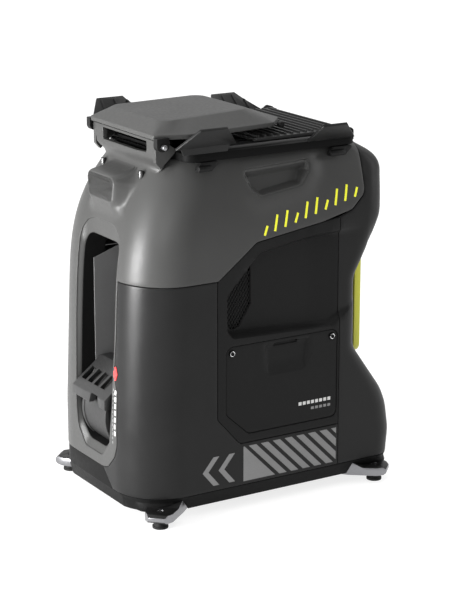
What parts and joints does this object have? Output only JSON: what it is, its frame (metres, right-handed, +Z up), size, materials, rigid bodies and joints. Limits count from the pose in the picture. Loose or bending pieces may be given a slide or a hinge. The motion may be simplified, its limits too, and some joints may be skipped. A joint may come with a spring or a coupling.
{
  "type": "tennis ball machine",
  "caption": "Free-standing tennis ball launcher with a folding hopper top, a tall front launch slot with throw wheels, side access hatches, a rear battery and splayed legs.",
  "frame": {"origin": "on the ground, under the centre of the machine's bounding box", "axes": "+Z up; the launch slot faces -Y and the battery faces +Y; +X is the side away from the pitch servo"},
  "size_m": [0.2682, 0.3726, 0.474],
  "materials": {
    "smoky_shell": "gloss",
    "satin_shell": "satin",
    "panel_black": "satin",
    "base_black": "matte",
    "trim_black": "matte",
    "lid_grey": "satin",
    "rib_grey": "matte",
    "frame_black": "satin",
    "inner_grey": "matte",
    "launcher_black": "satin",
    "leg_metal": "satin",
    "foot_rubber": "matte",
    "steel": "satin",
    "motor_metal": "satin",
    "wheel_rubber": "matte",
    "grip_yellow": "gloss",
    "battery_dark": "matte",
    "board_green": "satin",
    "window_dark": "gloss",
    "signal_ring": "gloss"
  },
  "bodies": {
    "machine": {"carry_grips": "panel_black", "right_side_panel": "panel_black", "left_side_panel": "panel_black", "module_bay_frames": "panel_black", "upper_shell": "satin_shell", "lower_shell": "smoky_shell", "rear_shell": "panel_black", "slot_bezel": "trim_black", "slot_liner": "trim_black", "vent_grilles": "trim_black", "legs_front": "leg_metal", "legs_rear": "leg_metal", "base_tray": "base_black", "chassis": "inner_grey", "launcher_cheeks": "inner_grey", "pitch_servo": "launcher_black", "feed_deck": "inner_grey", "feed_motor": "motor_metal", "ball_chute": "inner_grey", "hopper_bowl": "trim_black", "hopper_frame": "frame_black", "hopper_hinge_pins": "steel", "flap_stops_front": "frame_black", "flap_stops_rear": "frame_black", "frame_brackets": "frame_black", "yoke_screws": "steel", "front_yoke": "satin_shell", "plug_in_modules": "battery_dark", "main_board": "board_green", "battery_bay": "trim_black", "camera_pod": "satin_shell", "camera_window": "window_dark", "power_button_ring": "signal_ring", "charge_port": "trim_black"},
    "front_lid": {"front_lid": "lid_grey", "lid_rests": "trim_black"},
    "ribbed_panel": {"ribbed_panel": "rib_grey"},
    "right_flap": {"right_flap": "rib_grey"},
    "left_flap": {"left_flap": "rib_grey"},
    "launcher": {"launcher_side_plates": "launcher_black", "launcher_hood": "launcher_black", "launcher_axles": "steel", "lower_wheel_motor": "motor_metal", "upper_wheel_motor": "motor_metal"},
    "lower_wheel": {"lower_throw_wheel": "wheel_rubber"},
    "upper_wheel": {"upper_throw_wheel": "wheel_rubber"},
    "feed_wheel": {"feed_wheel": "inner_grey", "feed_motor_shaft": "steel"},
    "battery": {"battery_pack": "battery_dark", "battery_grip": "grip_yellow"},
    "battery_latch": {"battery_latch": "trim_black"},
    "hatch_right": {"hatch_right": "panel_black", "hatch_screws_right": "steel"},
    "hatch_left": {"hatch_left": "panel_black", "hatch_screws_left": "steel"},
    "power_button": {"power_button": "trim_black"},
    "foot_front_left": {"foot_front_left": "foot_rubber"},
    "foot_front_right": {"foot_front_right": "foot_rubber"},
    "foot_rear_left": {"foot_rear_left": "foot_rubber"},
    "foot_rear_right": {"foot_rear_right": "foot_rubber"}
  },
  "joints": [
    {"name": "lid_hinge", "type": "hinge", "parent": "machine", "child": "front_lid", "pos_m": [0, -0.129, 0.446], "axis": [1, 0, 0], "range_deg": [0, 90]},
    {"name": "ribbed_panel_hinge", "type": "hinge", "parent": "machine", "child": "ribbed_panel", "pos_m": [0, 0.124, 0.441], "axis": [-1, 0, 0], "range_deg": [0, 112]},
    {"name": "right_flap_hinge", "type": "hinge", "parent": "machine", "child": "right_flap", "pos_m": [0.088, 0, 0.436], "axis": [0, 1, 0], "range_deg": [0, 129]},
    {"name": "left_flap_hinge", "type": "hinge", "parent": "machine", "child": "left_flap", "pos_m": [-0.088, 0, 0.436], "axis": [0, -1, 0], "range_deg": [0, 129]},
    {"name": "launcher_pitch", "type": "hinge", "parent": "machine", "child": "launcher", "pos_m": [0, -0.13, 0.113], "axis": [1, 0, 0], "range_deg": [-15, 15]},
    {"name": "lower_wheel_spin", "type": "hinge", "parent": "launcher", "child": "lower_wheel", "pos_m": [0, -0.13, 0.113], "axis": [1, 0, 0], "continuous": true},
    {"name": "upper_wheel_spin", "type": "hinge", "parent": "launcher", "child": "upper_wheel", "pos_m": [0, -0.04798, 0.23014], "axis": [1, 0, 0], "continuous": true},
    {"name": "feed_spin", "type": "hinge", "parent": "machine", "child": "feed_wheel", "pos_m": [0, 0.002, 0.318], "axis": [0, 0, 1], "continuous": true},
    {"name": "battery_slide", "type": "slide", "parent": "machine", "child": "battery", "axis": [0, 1, 0], "range_m": [0, 0.07]},
    {"name": "battery_latch_lift", "type": "slide", "parent": "battery", "child": "battery_latch", "axis": [0, 0, 1], "range_m": [0, 0.0022], "stiffness_N_per_m": 400},
    {"name": "hatch_right_off", "type": "slide", "parent": "machine", "child": "hatch_right", "axis": [1, 0, 0], "range_m": [0, 0.06]},
    {"name": "hatch_left_off", "type": "slide", "parent": "machine", "child": "hatch_left", "axis": [-1, 0, 0], "range_m": [0, 0.06]},
    {"name": "power_button_press", "type": "slide", "parent": "machine", "child": "power_button", "axis": [0, -1, 0], "range_m": [0, 0.002], "stiffness_N_per_m": 500},
    {"name": "foot_front_left_turn", "type": "hinge", "parent": "machine", "child": "foot_front_left", "pos_m": [-0.115, -0.154, 0.012], "axis": [0, 0, 1], "continuous": true},
    {"name": "foot_front_right_turn", "type": "hinge", "parent": "machine", "child": "foot_front_right", "pos_m": [0.115, -0.154, 0.012], "axis": [0, 0, 1], "continuous": true},
    {"name": "foot_rear_left_turn", "type": "hinge", "parent": "machine", "child": "foot_rear_left", "pos_m": [-0.115, 0.154, 0.012], "axis": [0, 0, 1], "continuous": true},
    {"name": "foot_rear_right_turn", "type": "hinge", "parent": "machine", "child": "foot_rear_right", "pos_m": [0.115, 0.154, 0.012], "axis": [0, 0, 1], "continuous": true}
  ],
  "couplings": [
    {"joint": "ribbed_panel_hinge", "follows": "lid_hinge", "ratio": 1.2444},
    {"joint": "right_flap_hinge", "follows": "lid_hinge", "ratio": 1.4333},
    {"joint": "left_flap_hinge", "follows": "lid_hinge", "ratio": 1.4333}
  ]
}
